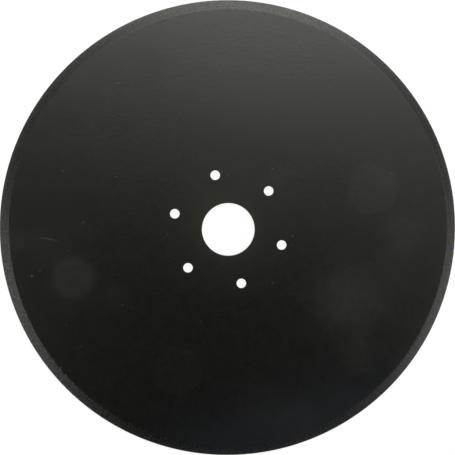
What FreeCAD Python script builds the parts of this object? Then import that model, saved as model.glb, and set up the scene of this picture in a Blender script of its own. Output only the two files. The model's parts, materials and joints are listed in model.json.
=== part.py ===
import FreeCAD, Part
import os

import Sketcher
from FreeCAD import Vector

# Plain coulter disc for a plough or drill, cut from one flat steel plate.
# The rim is ground to a bevel on both faces, which leaves a narrow land as the cutting edge.
# The centre bore sits on the hub's spigot, and a ring of bolt holes holds the disc to the hub flange.
# The origin is the middle of the bore, halfway through the plate. +Z is the axis that the disc turns on,
# and +X passes through the first bolt hole.

PARTS_FOLDER = "parts"

# Name, value and meaning of each size. Lengths are in millimetres.
SIZES = [
    ("disc_diameter", "450", "over the cutting edge"),
    ("plate_thickness", "4", "of the flat plate between its two faces"),
    ("bore_diameter", "52", "centre hole, on the hub's spigot"),
    ("bolt_circle_diameter", "110", "through the centres of the bolt holes"),
    ("bolt_hole_diameter", "9.5", "clearance hole for a hub bolt"),
    ("bolt_hole_count", "6", "evenly spaced round the bolt circle"),
    ("bevel_width", "8.8", "of the ground band on each face, measured along the radius"),
    ("edge_thickness", "0.8", "of the rim, where the bevels end"),
    ("rim_edge_break", "0.15", "chamfer on both corners of the rim"),
    ("hole_edge_break", "0.3", "chamfer round both ends of the bore and the bolt holes"),
]


def size_sheet(doc):
    """A spreadsheet with one row for each size: its name, its value under that name, and its meaning."""
    sheet = doc.addObject("Spreadsheet::Sheet", "Sizes")
    for row, (name, value, meaning) in enumerate(SIZES, start=1):
        sheet.set(f"A{row}", name)
        sheet.set(f"B{row}", value)
        sheet.setAlias(f"B{row}", name)
        sheet.set(f"C{row}", meaning)
    doc.recompute()
    return sheet


def origin_feature(body, role):
    """The body's own origin plane or axis with that role."""
    return next(f for f in body.Origin.OriginFeatures if f.Role == role)


def sketch_on(body, name, plane_role):
    sketch = body.newObject("Sketcher::SketchObject", name)
    sketch.AttachmentSupport = [(origin_feature(body, plane_role), "")]
    sketch.MapMode = "FlatFace"
    return sketch


def dimension(sketch, name, expression, *constraint):
    """Adds a named dimension to a sketch and binds it to the spreadsheet."""
    index = sketch.addConstraint(Sketcher.Constraint(*constraint))
    sketch.renameConstraint(index, name)
    sketch.setExpression(f"Constraints.{name}", expression)


def blade_section(body, sheet):
    """Half of the disc's cross-section, from the bore wall out to the cutting edge."""
    sketch = sketch_on(body, "BladeSection", "XZ_Plane")
    bore_radius = sheet.bore_diameter / 2
    disc_radius = sheet.disc_diameter / 2
    bevel_start = disc_radius - sheet.bevel_width
    bevel_end = disc_radius - sheet.rim_edge_break
    half_plate = sheet.plate_thickness / 2
    half_edge = sheet.edge_thickness / 2
    half_land = half_edge - sheet.rim_edge_break

    upper_corners = [
        Vector(disc_radius, half_land, 0),
        Vector(bevel_end, half_edge, 0),
        Vector(bevel_start, half_plate, 0),
        Vector(bore_radius, half_plate, 0),
    ]
    lower_corners = [Vector(corner.x, -corner.y, 0) for corner in reversed(upper_corners)]
    corners = lower_corners + upper_corners
    lines = [
        Part.LineSegment(start, end)
        for start, end in zip(corners, corners[1:] + corners[:1])
    ]
    outline = sketch.addGeometry(lines)
    lower_face, lower_bevel, lower_break, land, upper_break, upper_bevel, upper_face, bore_wall = outline

    origin, x_axis = -1, -1
    start, end = 1, 2
    for line, following in zip(outline, outline[1:] + outline[:1]):
        sketch.addConstraint(Sketcher.Constraint("Coincident", line, end, following, start))
    sketch.addConstraint(Sketcher.Constraint("Horizontal", lower_face))
    for lower, upper in [
        (lower_face, bore_wall),
        (lower_bevel, upper_face),
        (lower_break, upper_bevel),
        (land, upper_break),
    ]:
        sketch.addConstraint(Sketcher.Constraint("Symmetric", lower, start, upper, start, x_axis))

    dimension(sketch, "bore_radius", "Sizes.bore_diameter / 2",
              "DistanceX", origin, start, bore_wall, start, bore_radius)
    dimension(sketch, "disc_radius", "Sizes.disc_diameter / 2",
              "DistanceX", origin, start, land, start, disc_radius)
    dimension(sketch, "bevel_width", "Sizes.bevel_width",
              "DistanceX", lower_bevel, start, land, start, sheet.bevel_width)
    dimension(sketch, "plate_thickness", "Sizes.plate_thickness",
              "DistanceY", bore_wall, end, bore_wall, start, sheet.plate_thickness)
    dimension(sketch, "edge_thickness", "Sizes.edge_thickness",
              "DistanceY", lower_break, start, upper_bevel, start, sheet.edge_thickness)
    dimension(sketch, "rim_break_width", "Sizes.rim_edge_break",
              "DistanceX", lower_break, start, lower_break, end, sheet.rim_edge_break)
    dimension(sketch, "rim_break_height", "Sizes.rim_edge_break",
              "DistanceY", lower_break, start, lower_break, end, sheet.rim_edge_break)
    return sketch


def turned_blank(body, section):
    """The disc with its bore and both bevels, before drilling."""
    blank = body.newObject("PartDesign::Revolution", "BevelledBlank")
    blank.Profile = section
    blank.ReferenceAxis = (section, ["V_Axis"])
    blank.Angle = 360
    section.Visibility = False
    return blank


def first_bolt_hole(body, sheet):
    """One clearance hole through the plate, on +X."""
    sketch = sketch_on(body, "BoltHoleCircle", "XY_Plane")
    centre = Vector(sheet.bolt_circle_diameter / 2, 0, 0)
    circle = sketch.addGeometry(Part.Circle(centre, Vector(0, 0, 1), sheet.bolt_hole_diameter / 2))
    origin, x_axis = -1, -1
    start, middle = 1, 3
    sketch.addConstraint(Sketcher.Constraint("PointOnObject", circle, middle, x_axis))
    dimension(sketch, "bolt_circle_radius", "Sizes.bolt_circle_diameter / 2",
              "DistanceX", origin, start, circle, middle, centre.x)
    dimension(sketch, "bolt_hole_diameter", "Sizes.bolt_hole_diameter",
              "Diameter", circle, sheet.bolt_hole_diameter)

    hole = body.newObject("PartDesign::Pocket", "BoltHole")
    hole.Profile = sketch
    hole.SideType = "Symmetric"
    hole.Type = "ThroughAll"
    sketch.Visibility = False
    return hole


def bolt_hole_ring(body, hole):
    """The same hole, repeated evenly round the axis."""
    ring = body.newObject("PartDesign::PolarPattern", "BoltHoleRing")
    ring.Originals = [hole]
    ring.Axis = (origin_feature(body, "Z_Axis"), [""])
    ring.Angle = 360
    ring.setExpression("Occurrences", "Sizes.bolt_hole_count")
    body.Tip = ring
    return ring


def circular_edges(feature, radii):
    """Names of a feature's circular edges that have one of these radii."""
    tolerance = 1e-4
    return [
        f"Edge{number}"
        for number, edge in enumerate(feature.Shape.Edges, start=1)
        if isinstance(edge.Curve, Part.Circle)
        and any(abs(edge.Curve.Radius - radius) < tolerance for radius in radii)
    ]


def broken_hole_edges(body, ring, sheet):
    """A small chamfer that takes the burr off both ends of every hole."""
    chamfer = body.newObject("PartDesign::Chamfer", "HoleEdgeBreak")
    chamfer.Base = (ring, circular_edges(ring, [sheet.bore_diameter / 2, sheet.bolt_hole_diameter / 2]))
    chamfer.setExpression("Size", "Sizes.hole_edge_break")
    body.Tip = chamfer
    return chamfer


def coulter_disc(doc, sheet):
    body = doc.addObject("PartDesign::Body", "CoulterDisc")
    body.Label = "coulter_disc"
    body.Placement = FreeCAD.Placement()

    turned_blank(body, blade_section(body, sheet))
    doc.recompute()
    ring = bolt_hole_ring(body, first_bolt_hole(body, sheet))
    doc.recompute()
    broken_hole_edges(body, ring, sheet)
    doc.recompute()
    return body


def check_document(doc, bodies):
    """Stops the build if any feature failed, or if a body isn't one valid solid."""
    failed = [o.Label for o in doc.Objects if {"Invalid", "Error"} & set(o.State)]
    if failed:
        raise RuntimeError(f"these objects failed to build: {failed}")
    for body in bodies:
        shape = body.Shape
        if shape.isNull() or not shape.isValid() or len(shape.Solids) != 1:
            raise RuntimeError(f"{body.Label} isn't one valid solid")


def write_parts(bodies):
    os.makedirs(PARTS_FOLDER, exist_ok=True)
    for body in bodies:
        body.Shape.exportStep(os.path.join(PARTS_FOLDER, f"{body.Label}.step"))


doc = FreeCAD.newDocument("CoulterDisc")
bodies = [coulter_disc(doc, size_sheet(doc))]
check_document(doc, bodies)
write_parts(bodies)
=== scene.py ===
import json
import math

import bmesh
import bpy
from mathutils import Matrix, Vector


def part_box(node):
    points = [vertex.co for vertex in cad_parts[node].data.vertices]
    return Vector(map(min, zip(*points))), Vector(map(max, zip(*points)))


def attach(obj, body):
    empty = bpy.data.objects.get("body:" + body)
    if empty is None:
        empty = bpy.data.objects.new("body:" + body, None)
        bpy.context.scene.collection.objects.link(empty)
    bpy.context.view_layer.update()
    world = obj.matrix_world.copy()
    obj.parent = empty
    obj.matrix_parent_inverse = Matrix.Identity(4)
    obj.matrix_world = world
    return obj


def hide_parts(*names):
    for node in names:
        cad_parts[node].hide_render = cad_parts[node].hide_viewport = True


# Plain coulter disc, lying on a pale floor and seen from above. Lengths are in metres.
# Places on the disc are polar: a radius in millimetres, and an angle in degrees as the camera sees it,
# from 0 at the right of the picture to 90 at the top.

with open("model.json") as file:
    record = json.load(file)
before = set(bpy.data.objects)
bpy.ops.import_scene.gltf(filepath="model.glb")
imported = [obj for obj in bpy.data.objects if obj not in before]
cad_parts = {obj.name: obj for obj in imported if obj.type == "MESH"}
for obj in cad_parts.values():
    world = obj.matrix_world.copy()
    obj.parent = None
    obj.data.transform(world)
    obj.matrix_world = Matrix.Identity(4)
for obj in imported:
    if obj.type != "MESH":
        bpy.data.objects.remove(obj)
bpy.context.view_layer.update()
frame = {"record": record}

MM = 0.001
MOUNTS = {mount["name"]: mount["dims"] for mount in frame["record"]["mounts"]}
BLADE_LOW, BLADE_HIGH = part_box("coulter_disc")

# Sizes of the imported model. Its rim is made of short flats, and their least reach is taken as the radius.
TOP = BLADE_HIGH.z
UNDERSIDE = BLADE_LOW.z
RIM_RADIUS = min(BLADE_HIGH.x, BLADE_HIGH.y, -BLADE_LOW.x, -BLADE_LOW.y)
BORE_RADIUS = MOUNTS["hub_bore"]["r_mm"] * MM
BOLT_CIRCLE_RADIUS = MOUNTS["hub_bolts"]["pcd_mm"] * MM / 2
BOLT_HOLE_RADIUS = MOUNTS["hub_bolts"]["hole_r_mm"] * MM
BOLT_HOLES = MOUNTS["hub_bolts"]["count"]

# Grinding of the rim. The disc sat a little off centre on the grinder and wasn't quite flat, so the bevel is
# narrower on one side and a little oval, and its inner corner wavers.
# That corner is sharp on one side and ground softer on the other. Each side is an angle in the picture.
BEVEL_WIDTH = 8.55 * MM
BEVEL_OFF_CENTRE = 0.64 * MM
BEVEL_OVAL = 0.25 * MM
NARROW_SIDE = -3
LONG_WAVER = 0.12 * MM
SHORT_WAVER = 0.06 * MM
SHARP_CORNER = 0.25 * MM
SOFT_CORNER = 1.9 * MM
SOFT_SIDE = -60
EDGE_THICKNESS = 0.8 * MM
RIM_ROUNDING = 0.15 * MM
HOLE_EDGE_BREAK = 0.3 * MM

# Nicks in the upper corner between face and bevel: angle, width along the corner, and depth
NICKS = [
    (213.5, 1.3 * MM, 0.4 * MM),
    (216.6, 1.2 * MM, 0.5 * MM),
    (219.4, 1.3 * MM, 1.6 * MM),
    (221.7, 1.2 * MM, 1.1 * MM),
    (224.4, 1.3 * MM, 0.4 * MM),
    (228.0, 1.4 * MM, 0.5 * MM),
    (230.6, 1.2 * MM, 0.4 * MM),
    (234.1, 1.4 * MM, 0.4 * MM),
]

# Rings of the blank that the blade is ground from: radii on the flat face, then steps to both sides of the
# corner between face and bevel, then shares of the bevel's width
FACE_RINGS = [40 * MM, 70 * MM, 110 * MM, 160 * MM, 200 * MM, 210 * MM]
CORNER_RADIUS = RIM_RADIUS - BEVEL_WIDTH
CORNER_STEPS = [-1.0, -0.6, -0.2, 0.2, 0.6, 1.0]
CORNER_STEP = 1.0 * MM
BEVEL_SHARES = [0.25, 0.5, 0.75]

# Steps of the mesh round the disc and round a bolt hole. The disc is spun in sectors, because one spin of so
# many steps is slow. Points closer than SAME_PLACE are one point, and an edge that turns by more than
# SHARP_EDGE looks sharp.
SEGMENTS = 1920
SECTORS = 16
HOLE_SEGMENTS = 96
SAME_PLACE = 1e-6
SHARP_EDGE = math.radians(25)

# The camera sees the first bolt hole, which is on +X, this far below the level of the bore
PICTURE_TURN = math.radians(16.42)


def in_picture(x, y, z=0.0):
    """The point that the camera sees at x to the right and y upwards, at height z."""
    return Matrix.Rotation(PICTURE_TURN, 3, "Z") @ Vector((x, y, z))


def on_disc(radius_mm, angle_deg):
    """A place on the upper face."""
    angle = math.radians(angle_deg)
    radius = radius_mm * MM
    return in_picture(radius * math.cos(angle), radius * math.sin(angle), TOP)


# Blade

def spun_blade(bm):
    """A flat disc with its bore. Half of its cross-section is spun into a sector, which is copied round."""
    face = [BORE_RADIUS] + FACE_RINGS
    corner = [CORNER_RADIUS + step * CORNER_STEP for step in CORNER_STEPS]
    bevel = [CORNER_RADIUS + share * BEVEL_WIDTH for share in BEVEL_SHARES]
    upper = [(radius, TOP) for radius in face + corner + bevel] + [(RIM_RADIUS, EDGE_THICKNESS / 2)]
    lower = [(radius, -height) for radius, height in reversed(upper)]
    corners = [bm.verts.new((radius, 0, height)) for radius, height in upper + lower]
    sides = [bm.edges.new(pair) for pair in zip(corners, corners[1:] + corners[:1])]
    sector = 2 * math.pi / SECTORS
    bmesh.ops.spin(bm, geom=corners + sides, cent=(0, 0, 0), axis=(0, 0, 1),
                   angle=sector, steps=SEGMENTS // SECTORS)
    first = bm.verts[:] + bm.edges[:] + bm.faces[:]
    for number in range(1, SECTORS):
        copy = bmesh.ops.duplicate(bm, geom=first)["geom"]
        bmesh.ops.rotate(bm, verts=[part for part in copy if isinstance(part, bmesh.types.BMVert)],
                         cent=(0, 0, 0), matrix=Matrix.Rotation(number * sector, 3, "Z"))
    bmesh.ops.remove_doubles(bm, verts=bm.verts, dist=SAME_PLACE)
    bmesh.ops.recalc_face_normals(bm, faces=bm.faces)


def corner_at(angle):
    """Radius of the corner between face and bevel at this angle in the picture, and half of its softness."""
    from_narrow = angle - math.radians(NARROW_SIDE)
    narrowing = BEVEL_OFF_CENTRE * math.cos(from_narrow) + BEVEL_OVAL * math.cos(2 * from_narrow)
    waver = LONG_WAVER * math.sin(5 * angle + 1.0) + SHORT_WAVER * math.sin(17 * angle)
    softened = (0.5 + 0.5 * math.cos(angle - math.radians(SOFT_SIDE))) ** 2
    softness = SHARP_CORNER + (SOFT_CORNER - SHARP_CORNER) * softened
    return CORNER_RADIUS + narrowing + waver, softness


def ground_height(radius, corner, softness):
    """Height of the ground surface over the plate's middle. A parabola eases the face into the bevel."""
    slope = (TOP - EDGE_THICKNESS / 2) / (RIM_RADIUS - corner)
    past = radius - corner
    if past < -softness:
        return TOP
    if past < softness:
        return TOP - slope * (past + softness) ** 2 / (4 * softness)
    return TOP - slope * past


def nick_depth(angle):
    """How far the nicks shift the upper corner inwards at this angle."""
    depths = []
    for nick, width, depth in NICKS:
        away = RIM_RADIUS * math.remainder(angle - math.radians(nick), 2 * math.pi)
        depths.append(depth * math.exp(-(away / width) ** 2))
    return sum(depths)


def grind(bm):
    """Grinds a bevel on both faces, and leaves the nicks in the upper one's corner."""
    # These lie between rings: inside the corner's first, outside its last, and inside the rim's rounding
    corner_from = CORNER_RADIUS - 1.5 * CORNER_STEP
    corner_to = CORNER_RADIUS + 1.5 * CORNER_STEP
    bevel_to = RIM_RADIUS - 1.5 * RIM_ROUNDING
    for vert in bm.verts:
        radius = vert.co.xy.length
        if not corner_from < radius < bevel_to:
            continue
        angle = math.atan2(vert.co.y, vert.co.x) - PICTURE_TURN
        corner, softness = corner_at(angle)
        on_corner = radius < corner_to
        if on_corner:
            radius = corner + (radius - CORNER_RADIUS) / CORNER_STEP * softness
        height = math.copysign(ground_height(radius, corner, softness), vert.co.z)
        if on_corner and height > 0:
            radius -= nick_depth(angle)
        turned = angle + PICTURE_TURN
        vert.co = Vector((math.cos(turned) * radius, math.sin(turned) * radius, height))


def ring_edges(bm, radius, height):
    """The edges that run round the disc at this radius, at this height above and below its middle."""
    def there(vert):
        return abs(vert.co.xy.length - radius) < SAME_PLACE and abs(abs(vert.co.z) - height) < SAME_PLACE

    def level(edge):
        return abs(edge.verts[0].co.z - edge.verts[1].co.z) < SAME_PLACE

    return [edge for edge in bm.edges if level(edge) and all(there(vert) for vert in edge.verts)]


def round_edges(bm, radius, height, width, segments):
    bmesh.ops.bevel(bm, geom=ring_edges(bm, radius, height), offset=width, offset_type="OFFSET",
                    segments=segments, profile=0.5, affect="EDGES", material=-1)


def drill():
    """The solid that each bolt hole leaves out, flared at both ends to break the hole's edges."""
    bm = bmesh.new()
    clear = TOP + HOLE_EDGE_BREAK
    flare = BOLT_HOLE_RADIUS + 2 * HOLE_EDGE_BREAK
    outline = [
        (0, -clear),
        (flare, -clear),
        (BOLT_HOLE_RADIUS, -TOP + HOLE_EDGE_BREAK),
        (BOLT_HOLE_RADIUS, TOP - HOLE_EDGE_BREAK),
        (flare, clear),
        (0, clear),
    ]
    corners = [bm.verts.new((radius, 0, height)) for radius, height in outline]
    sides = [bm.edges.new(pair) for pair in zip(corners, corners[1:])]
    bmesh.ops.spin(bm, geom=corners + sides, cent=(0, 0, 0), axis=(0, 0, 1),
                   angle=2 * math.pi, steps=HOLE_SEGMENTS, use_merge=True)
    bmesh.ops.remove_doubles(bm, verts=bm.verts, dist=SAME_PLACE)
    bmesh.ops.recalc_face_normals(bm, faces=bm.faces)
    bmesh.ops.translate(bm, verts=bm.verts, vec=(BOLT_CIRCLE_RADIUS, 0, 0))
    return bm


def drill_ring():
    """One drill for each bolt hole, evenly round the bolt circle."""
    ring = bmesh.new()
    one = drill()
    mesh = bpy.data.meshes.new("drill")
    turn = Matrix.Rotation(2 * math.pi / BOLT_HOLES, 3, "Z")
    for _ in range(BOLT_HOLES):
        one.to_mesh(mesh)
        ring.from_mesh(mesh)
        bmesh.ops.rotate(one, verts=one.verts, cent=(0, 0, 0), matrix=turn)
    one.free()
    bpy.data.meshes.remove(mesh)
    return ring


def as_object(bm, name):
    mesh = bpy.data.meshes.new(name)
    bm.to_mesh(mesh)
    bm.free()
    made = bpy.data.objects.new(name, mesh)
    bpy.context.scene.collection.objects.link(made)
    return made


def cut_out(blade, drills):
    """Takes the drills' shape out of the blade, and removes them."""
    cut = blade.modifiers.new("bolt holes", "BOOLEAN")
    cut.operation = "DIFFERENCE"
    cut.solver = "EXACT"
    cut.object = drills
    depsgraph = bpy.context.evaluated_depsgraph_get()
    drilled = bpy.data.meshes.new_from_object(blade.evaluated_get(depsgraph))
    blade.modifiers.remove(cut)
    blade.data = drilled
    bpy.data.objects.remove(drills)


def make_blade():
    bm = bmesh.new()
    spun_blade(bm)
    round_edges(bm, RIM_RADIUS, EDGE_THICKNESS / 2, RIM_ROUNDING, segments=3)
    round_edges(bm, BORE_RADIUS, TOP, HOLE_EDGE_BREAK, segments=2)
    grind(bm)
    blade = as_object(bm, "painted_blade")
    cut_out(blade, as_object(drill_ring(), "drills"))
    blade.data.shade_smooth()
    blade.data.set_sharp_from_angle(angle=SHARP_EDGE)
    flat_faces = blade.modifiers.new("flat faces", "WEIGHTED_NORMAL")
    flat_faces.keep_sharp = True
    return blade


# Nodes

def node(tree, kind, inputs=None, **settings):
    """Adds a node. Each input is a plain value, or the output of another node that feeds it."""
    made = tree.nodes.new(kind)
    for name, value in settings.items():
        setattr(made, name, value)
    for name, value in (inputs or {}).items():
        if isinstance(value, bpy.types.NodeSocket):
            tree.links.new(value, made.inputs[name])
        else:
            made.inputs[name].default_value = value
    return made


def blank_material(name):
    material = bpy.data.materials.new(name)
    material.use_nodes = True
    material.node_tree.nodes.clear()
    return material, material.node_tree


def math_node(tree, operation, *values, clamp=False):
    inputs = dict(enumerate(values))
    return node(tree, "ShaderNodeMath", inputs, operation=operation, use_clamp=clamp).outputs[0]


def vector_node(tree, operation, *values):
    inputs = dict(enumerate(values))
    return node(tree, "ShaderNodeVectorMath", inputs, operation=operation).outputs[0]


def ramp(tree, value, low, high, to_low=0.0, to_high=1.0, smooth=True):
    """Maps low..high to to_low..to_high, and holds beyond both ends."""
    kind = "SMOOTHSTEP" if smooth else "LINEAR"
    return node(tree, "ShaderNodeMapRange", {
        "Value": value,
        "From Min": low,
        "From Max": high,
        "To Min": to_low,
        "To Max": to_high,
    }, interpolation_type=kind).outputs["Result"]


def mixed(tree, share, without, full):
    """A colour that goes from one to another as the share goes from 0 to 1."""
    return node(tree, "ShaderNodeMix", {"Factor": share, 6: without, 7: full}, data_type="RGBA").outputs[2]


def noise(tree, place, scale, detail):
    """Noise about 0 with features about 1 / scale metres wide."""
    made = node(tree, "ShaderNodeTexNoise", {"Vector": place, "Scale": scale, "Detail": detail})
    return math_node(tree, "SUBTRACT", made.outputs["Fac"], 0.5)


def distance(tree, place, point):
    return node(tree, "ShaderNodeVectorMath", {0: place, 1: point}, operation="DISTANCE").outputs["Value"]


def summed(tree, values):
    total = values[0]
    for value in values[1:]:
        total = math_node(tree, "ADD", total, value)
    return total


def weighted(tree, layers, weights):
    """The sum of the layers that have a weight, each times its weight."""
    parts = [math_node(tree, "MULTIPLY", layers[name], weight) for name, weight in weights.items()]
    return summed(tree, parts)


# Paint

# Pale round marks, such as a vacuum lifter leaves: place, radius and width of the soft edge in millimetres,
# and strength
LIFTER_MARKS = [
    ((160.4, 197.3), 20.3, 11, 0.80),
    ((160.4, 197.3), 31.0, 24, 0.18),
    ((149.6, 250.3), 24.0, 4, 0.15),
    ((148.8, 15.8), 25.0, 6, 0.42),
    ((161.5, 16.8), 9.0, 12, 0.25),
]

# Cloudy patches with uneven edges, in the same way. A strength below zero is a darker patch.
CLOUDS = [
    ((138.2, 329.5), 27, 46, 0.85),
    ((138.2, 329.5), 44, 50, 0.22),
    ((172.6, 357.8), 20, 26, 0.55),
    ((180.3, 343.6), 12, 20, 0.24),
    ((181.1, 184.5), 18, 24, 0.36),
    ((147.4, 75.9), 44, 60, 0.32),
    ((179.6, 317.0), 16, 26, 0.42),
    ((210.8, 182.4), 11, 14, 0.55),
    ((131.0, 209.7), 12, 20, 0.22),
    ((148.0, 179.6), 12, 16, 0.20),
    ((167.4, 347.9), 15, 22, 0.22),
    ((76.8, 47.0), 9, 12, 0.35),
    ((175.4, 279.2), 26, 34, 0.18),
    ((200.1, 290.9), 20, 28, 0.28),
    ((157.0, 98.2), 34, 40, 0.25),
    ((211.8, 133.8), 12, 20, 0.30),
    ((209.4, 10.3), 12, 14, -0.28),
    ((193.2, 145.2), 13, 14, -0.22),
    ((153.6, 137.3), 16, 16, -0.22),
    ((177.3, 115.0), 13, 14, -0.25),
    ((116.7, 27.1), 22, 20, -0.20),
    ((205.9, 315.0), 24, 22, -0.25),
]

# The clouds' edges wander to and fro within this span, with about this many turns per metre
CLOUD_WANDER = 40 * MM
CLOUD_TURNS = 45

# Dust nib bumps in the paint: place and strength. They slope down from a small top, and their tops are
# painted paler: a painted highlight.
NIB_BUMPS_AND_GLINTS = [
    ((198.7, 193.3), 1.7),
    ((179.6, 127.2), 1.0),
    ((69.1, 309.2), 0.9),
    ((170.1, 18.5), 1.1),
    ((63.8, 353.6), 1.0),
    ((142.6, 177.2), 1.1),
    ((144.6, 177.8), 0.6),
    ((121.7, 155.1), 0.9),
    ((73.5, 53.5), 0.9),
    ((189.9, 192.4), 0.8),
    ((172.5, 160.7), 1.0),
    ((128.8, 215.8), 0.8),
    ((52.2, 89.8), 0.8),
    ((96.0, 253.4), 0.6),
    ((185.4, 210.5), 0.7),
    ((186.3, 218.4), 0.8),
    ((60.3, 184.9), 0.7),
    ((159.2, 187.5), 0.6),
    ((194.8, 19.2), 0.6),
    ((160.0, 92.0), 0.5),
]
NIB_RADIUS = 1.5 * MM
NIB_TOP_RADIUS = 0.2 * MM

# The scratch is an arc: its middle, the centre that it bends round, and half of its width at the top and at
# the bottom. It is deep near its middle, and fades out further along.
SCRATCH_MIDDLE = on_disc(176.7, 182.9)
SCRATCH_CENTRE = on_disc(199.0, 200.0)
SCRATCH_HALF_WIDTH = 0.9 * MM
SCRATCH_HALF_BOTTOM = 0.2 * MM
DEEP_REACH = 15 * MM
DEEP_SHARE = 0.85
FAINT_FROM = 10 * MM
FAINT_REACH = 26 * MM
FAINT_SHARE = 0.15

# The haze round the bore isn't quite centred on it. These are its middle, and the reach of its two parts.
BORE_HAZE_MIDDLE = in_picture(-0.001, 0.0025)
NEAR_BORE = 40 * MM
ROUND_BORE = 85 * MM

# The paint changes from face to bevel within this distance of the corner, and gets paler towards the edge
# from this share of the bevel on
BEVEL_BLEND = 0.8 * MM
PALER_FROM = 0.2

# Grain of the paint: how many bumps there are in a metre, and how many finer levels they have
ORANGE_PEEL = (320, 3)
UNEVEN_SPRAY = (110, 2)
GRINDING = (570, 1)

# Tints of the paint, of the paint close to the bore, and of the haze. Each is scaled down by the paleness.
BLACK = (0, 0, 0, 1)
PAINT_TINT = (1.0, 1.0, 0.80, 1)
BORE_TINT = (1.0, 0.99, 0.62, 1)
HAZE_TINT = (1.0, 1.0, 0.90, 1)

# How pale and how matt the bare paint is
PAINT_PALENESS = 0.0029
FACE_MATT = 0.25
BEVEL_MATT = 0.32

# How much paler, how much more matt, and how much higher in metres each layer makes the paint
PALENESS = {
    "haze": 0.0100,
    "near_bore": 0.0055,
    "round_bore": 0.0042,
    # Paleness of the nib tops is a painted highlight
    "nib_relief_and_glint": 0.020,
    "scratch": 0.020,
    "to_edge": 0.0078,
    "peel": 0.0020,
    "spray": 0.0022,
    "grinding": 0.0070,
}
MATT = {
    "peel": 0.030,
    "spray": 0.020,
    "grinding": 0.40,
}
RELIEF = {
    "peel": 50e-6,
    "grinding": 125e-6,
    "nib_relief_and_glint": 60e-6,
    "scratch": -40e-6,
}


def pale_patches(tree, place, patches):
    """How much paler the patches make the paint: 1 is a full patch, and below 0 it gets darker."""
    shares = []
    for where, radius, edge, strength in patches:
        away = distance(tree, place, on_disc(*where))
        shares.append(ramp(tree, away, (radius + edge / 2) * MM, (radius - edge / 2) * MM, 0.0, strength))
    return summed(tree, shares)


def wandering(tree, place):
    """The place, shifted to and fro by noise, so that what is drawn there has uneven edges."""
    made = node(tree, "ShaderNodeTexNoise", {"Vector": place, "Scale": CLOUD_TURNS, "Detail": 3})
    drift = vector_node(tree, "SUBTRACT", made.outputs["Color"], (0.5, 0.5, 0.5))
    drift = vector_node(tree, "MULTIPLY", drift, (CLOUD_WANDER, CLOUD_WANDER, CLOUD_WANDER))
    return vector_node(tree, "ADD", place, drift)


def nib_relief_and_painted_glint(tree, place):
    """Height of the nib bumps, from 0 to 2, and the paleness of their tops, which is a painted highlight."""
    nib_relief_and_glint = []
    for where, strength in NIB_BUMPS_AND_GLINTS:
        away = distance(tree, place, on_disc(*where))
        nib_relief_and_glint.append(ramp(tree, away, NIB_RADIUS, NIB_TOP_RADIUS, 0.0, strength))
    return summed(tree, nib_relief_and_glint)


def scratch(tree, place):
    """A thin curved scratch near the left of the rim, from 0 to 1."""
    bend = (SCRATCH_MIDDLE.xy - SCRATCH_CENTRE.xy).length
    from_arc = math_node(tree, "SUBTRACT", distance(tree, place, SCRATCH_CENTRE), bend)
    line = ramp(tree, math_node(tree, "ABSOLUTE", from_arc), SCRATCH_HALF_WIDTH, SCRATCH_HALF_BOTTOM)
    from_middle = distance(tree, place, SCRATCH_MIDDLE)
    deep = ramp(tree, from_middle, DEEP_REACH, 0.0, 0.0, DEEP_SHARE)
    faint = ramp(tree, from_middle, FAINT_REACH, FAINT_FROM, 0.0, FAINT_SHARE)
    return math_node(tree, "MULTIPLY", line, math_node(tree, "ADD", deep, faint))


def paint_layers(tree, place):
    """The layers of the paint by name, with the share that is bevel."""
    flat_place = vector_node(tree, "MULTIPLY", place, (1, 1, 0))
    bevel_centre = on_disc(BEVEL_OFF_CENTRE / MM, NARROW_SIDE).xy.to_3d()
    from_centre = distance(tree, flat_place, bevel_centre)
    from_bore = distance(tree, flat_place, BORE_HAZE_MIDDLE)
    on_bevel = ramp(tree, from_centre, CORNER_RADIUS - BEVEL_BLEND, CORNER_RADIUS + BEVEL_BLEND)
    paler_from = CORNER_RADIUS + PALER_FROM * BEVEL_WIDTH
    patches = [
        pale_patches(tree, place, LIFTER_MARKS),
        pale_patches(tree, wandering(tree, place), CLOUDS),
    ]
    return {
        "on_bevel": on_bevel,
        "to_edge": ramp(tree, from_centre, paler_from, RIM_RADIUS, smooth=False),
        "haze": summed(tree, patches),
        "near_bore": ramp(tree, from_bore, NEAR_BORE, BORE_RADIUS),
        "round_bore": ramp(tree, from_bore, ROUND_BORE, BORE_RADIUS),
        # Nib bumps, whose tops also get a painted highlight
        "nib_relief_and_glint": nib_relief_and_painted_glint(tree, place),
        "scratch": scratch(tree, place),
        "peel": noise(tree, place, *ORANGE_PEEL),
        "spray": noise(tree, place, *UNEVEN_SPRAY),
        "grinding": math_node(tree, "MULTIPLY", noise(tree, place, *GRINDING), on_bevel),
    }


def black_paint():
    """Satin black sprayed over steel, with a fine orange peel, and grinding marks under it on the bevels."""
    material, tree = blank_material("black_paint")
    layers = paint_layers(tree, node(tree, "ShaderNodeTexCoord").outputs["Object"])

    paleness = math_node(tree, "ADD", weighted(tree, layers, PALENESS), PAINT_PALENESS, clamp=True)
    tint = mixed(tree, layers["round_bore"], PAINT_TINT, BORE_TINT)
    tint = mixed(tree, layers["haze"], tint, HAZE_TINT)
    bare_matt = ramp(tree, layers["on_bevel"], 0, 1, FACE_MATT, BEVEL_MATT, smooth=False)
    relief = node(tree, "ShaderNodeBump", {
        "Height": weighted(tree, layers, RELIEF),
        "Distance": 1.0,
        "Strength": 1.0,
    })
    shader = node(tree, "ShaderNodeBsdfPrincipled", {
        "Base Color": mixed(tree, paleness, BLACK, tint),
        "Roughness": math_node(tree, "ADD", bare_matt, weighted(tree, layers, MATT)),
        "Normal": relief.outputs["Normal"],
    })
    node(tree, "ShaderNodeOutputMaterial", {"Surface": shader.outputs["BSDF"]})
    return material


# Studio

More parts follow.
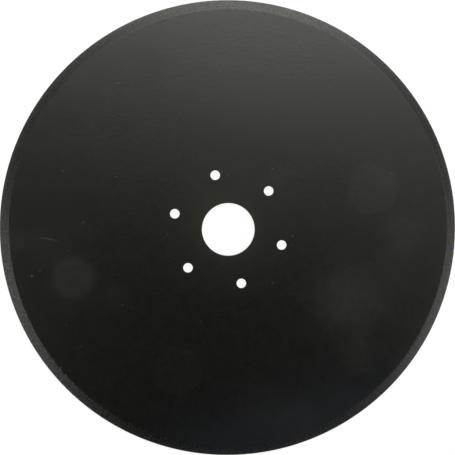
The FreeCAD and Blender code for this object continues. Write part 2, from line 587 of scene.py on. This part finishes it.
FLOOR_HALF_WIDTH = 15
FLOOR_WHITE = (0.8, 0.8, 0.8, 1)
FLOOR_SHADOWED = (0.2, 0.2, 0.2, 1)
FLOOR_GLOW = 0.85
WHITE = (1, 1, 1, 1)

# The room's walls are white up to the first of these angles above the horizon, and black from the second
WALLS_WHITE_TO = math.radians(12)
WALLS_BLACK_FROM = math.radians(45)

# Lamps: name, centre (to the right, upwards in the picture, and height), width and depth, turn in degrees,
# brightness, and colour
WARM = (1.0, 1.0, 0.945)
COOL = (0.73, 0.92, 1.38)
SOFT_BOXES = [
    ("back_box", (0.269, 1.792, 2.00), (1.220, 2.823), -8.0, 3.50, WARM),
    ("left_box", (-1.222, -0.540, 2.00), (0.975, 0.980), -7.2, 2.55, WARM),
    ("right_box", (1.653, -0.880, 2.00), (0.905, 2.026), 38.7, 2.36, WARM),
    ("wide_fill", (0.407, 1.504, 2.05), (2.704, 3.040), -10.7, 0.71, WARM),
    ("low_front", (0.120, -0.285, 0.24), (0.380, 0.160), 16.0, 0.175, COOL),
]

# The camera stands nearly over the middle of the disc. Its lens and sensor are in millimetres.
CAMERA_PLACE = in_picture(-0.0367, 0.0755, TOP + 1.448)
CAMERA_AIM = in_picture(-0.00082, 0.00192, TOP)
CAMERA_LENS = 116.32
CAMERA_SENSOR = 36


def pale_floor():
    """A white floor. Seen directly or in a reflection it glows, and keeps only part of the shadows on it."""
    material, tree = blank_material("pale_floor")
    rays = node(tree, "ShaderNodeLightPath").outputs
    seen = math_node(tree, "MAXIMUM", rays["Is Camera Ray"], rays["Is Glossy Ray"])
    seen = math_node(tree, "MAXIMUM", seen, rays["Is Transmission Ray"])
    lit = node(tree, "ShaderNodeBsdfDiffuse", {"Color": FLOOR_WHITE})
    shadowed = node(tree, "ShaderNodeBsdfDiffuse", {"Color": FLOOR_SHADOWED})
    glow = node(tree, "ShaderNodeEmission", {"Color": WHITE, "Strength": FLOOR_GLOW})
    white = node(tree, "ShaderNodeAddShader", {0: shadowed.outputs[0], 1: glow.outputs[0]})
    either = node(tree, "ShaderNodeMixShader", {0: seen, 1: lit.outputs[0], 2: white.outputs[0]})
    node(tree, "ShaderNodeOutputMaterial", {"Surface": either.outputs[0]})
    return material


def make_floor():
    bm = bmesh.new()
    bmesh.ops.create_grid(bm, x_segments=1, y_segments=1, size=FLOOR_HALF_WIDTH)
    bmesh.ops.translate(bm, verts=bm.verts, vec=(0, 0, UNDERSIDE))
    floor = as_object(bm, "floor")
    floor.data.materials.append(pale_floor())


def make_world():
    """A white room whose walls darken towards the ceiling."""
    world = bpy.data.worlds.new("room")
    world.use_nodes = True
    tree = world.node_tree
    tree.nodes.clear()
    direction = node(tree, "ShaderNodeTexCoord").outputs["Generated"]
    height = node(tree, "ShaderNodeSeparateXYZ", {"Vector": direction}).outputs["Z"]
    walls = ramp(tree, height, math.sin(WALLS_WHITE_TO), math.sin(WALLS_BLACK_FROM), 1.0, 0.0)
    background = node(tree, "ShaderNodeBackground", {"Color": WHITE, "Strength": walls})
    node(tree, "ShaderNodeOutputWorld", {"Surface": background.outputs[0]})
    bpy.context.scene.world = world


def make_soft_box(name, centre, size, turn, brightness, colour):
    """A flat lamp that shines straight down. At brightness 1 it looks plain white."""
    lamp = bpy.data.lights.new(name, "AREA")
    lamp.shape = "RECTANGLE"
    lamp.size, lamp.size_y = size
    lamp.energy = brightness * math.pi * size[0] * size[1]
    lamp.color = colour
    box = bpy.data.objects.new(name, lamp)
    box.location = in_picture(*centre)
    box.rotation_euler.z = PICTURE_TURN + math.radians(turn)
    box.visible_camera = False
    bpy.context.scene.collection.objects.link(box)


def make_camera():
    camera = bpy.data.cameras.new("camera")
    camera.lens = CAMERA_LENS
    camera.sensor_width = CAMERA_SENSOR
    camera.clip_start, camera.clip_end = 0.1, 100
    holder = bpy.data.objects.new("camera", camera)
    back = (CAMERA_PLACE - CAMERA_AIM).normalized()
    right = in_picture(0, 1).cross(back).normalized()
    up = back.cross(right)
    holder.matrix_world = Matrix.Translation(CAMERA_PLACE) @ Matrix((right, up, back)).transposed().to_4x4()
    bpy.context.scene.collection.objects.link(holder)
    bpy.context.scene.camera = holder


blade = make_blade()
blade.data.materials.append(black_paint())
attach(blade, "root")
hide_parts("coulter_disc")

make_floor()
make_world()
for box in SOFT_BOXES:
    make_soft_box(*box)
make_camera()
bpy.context.scene.view_settings.view_transform = "Standard"
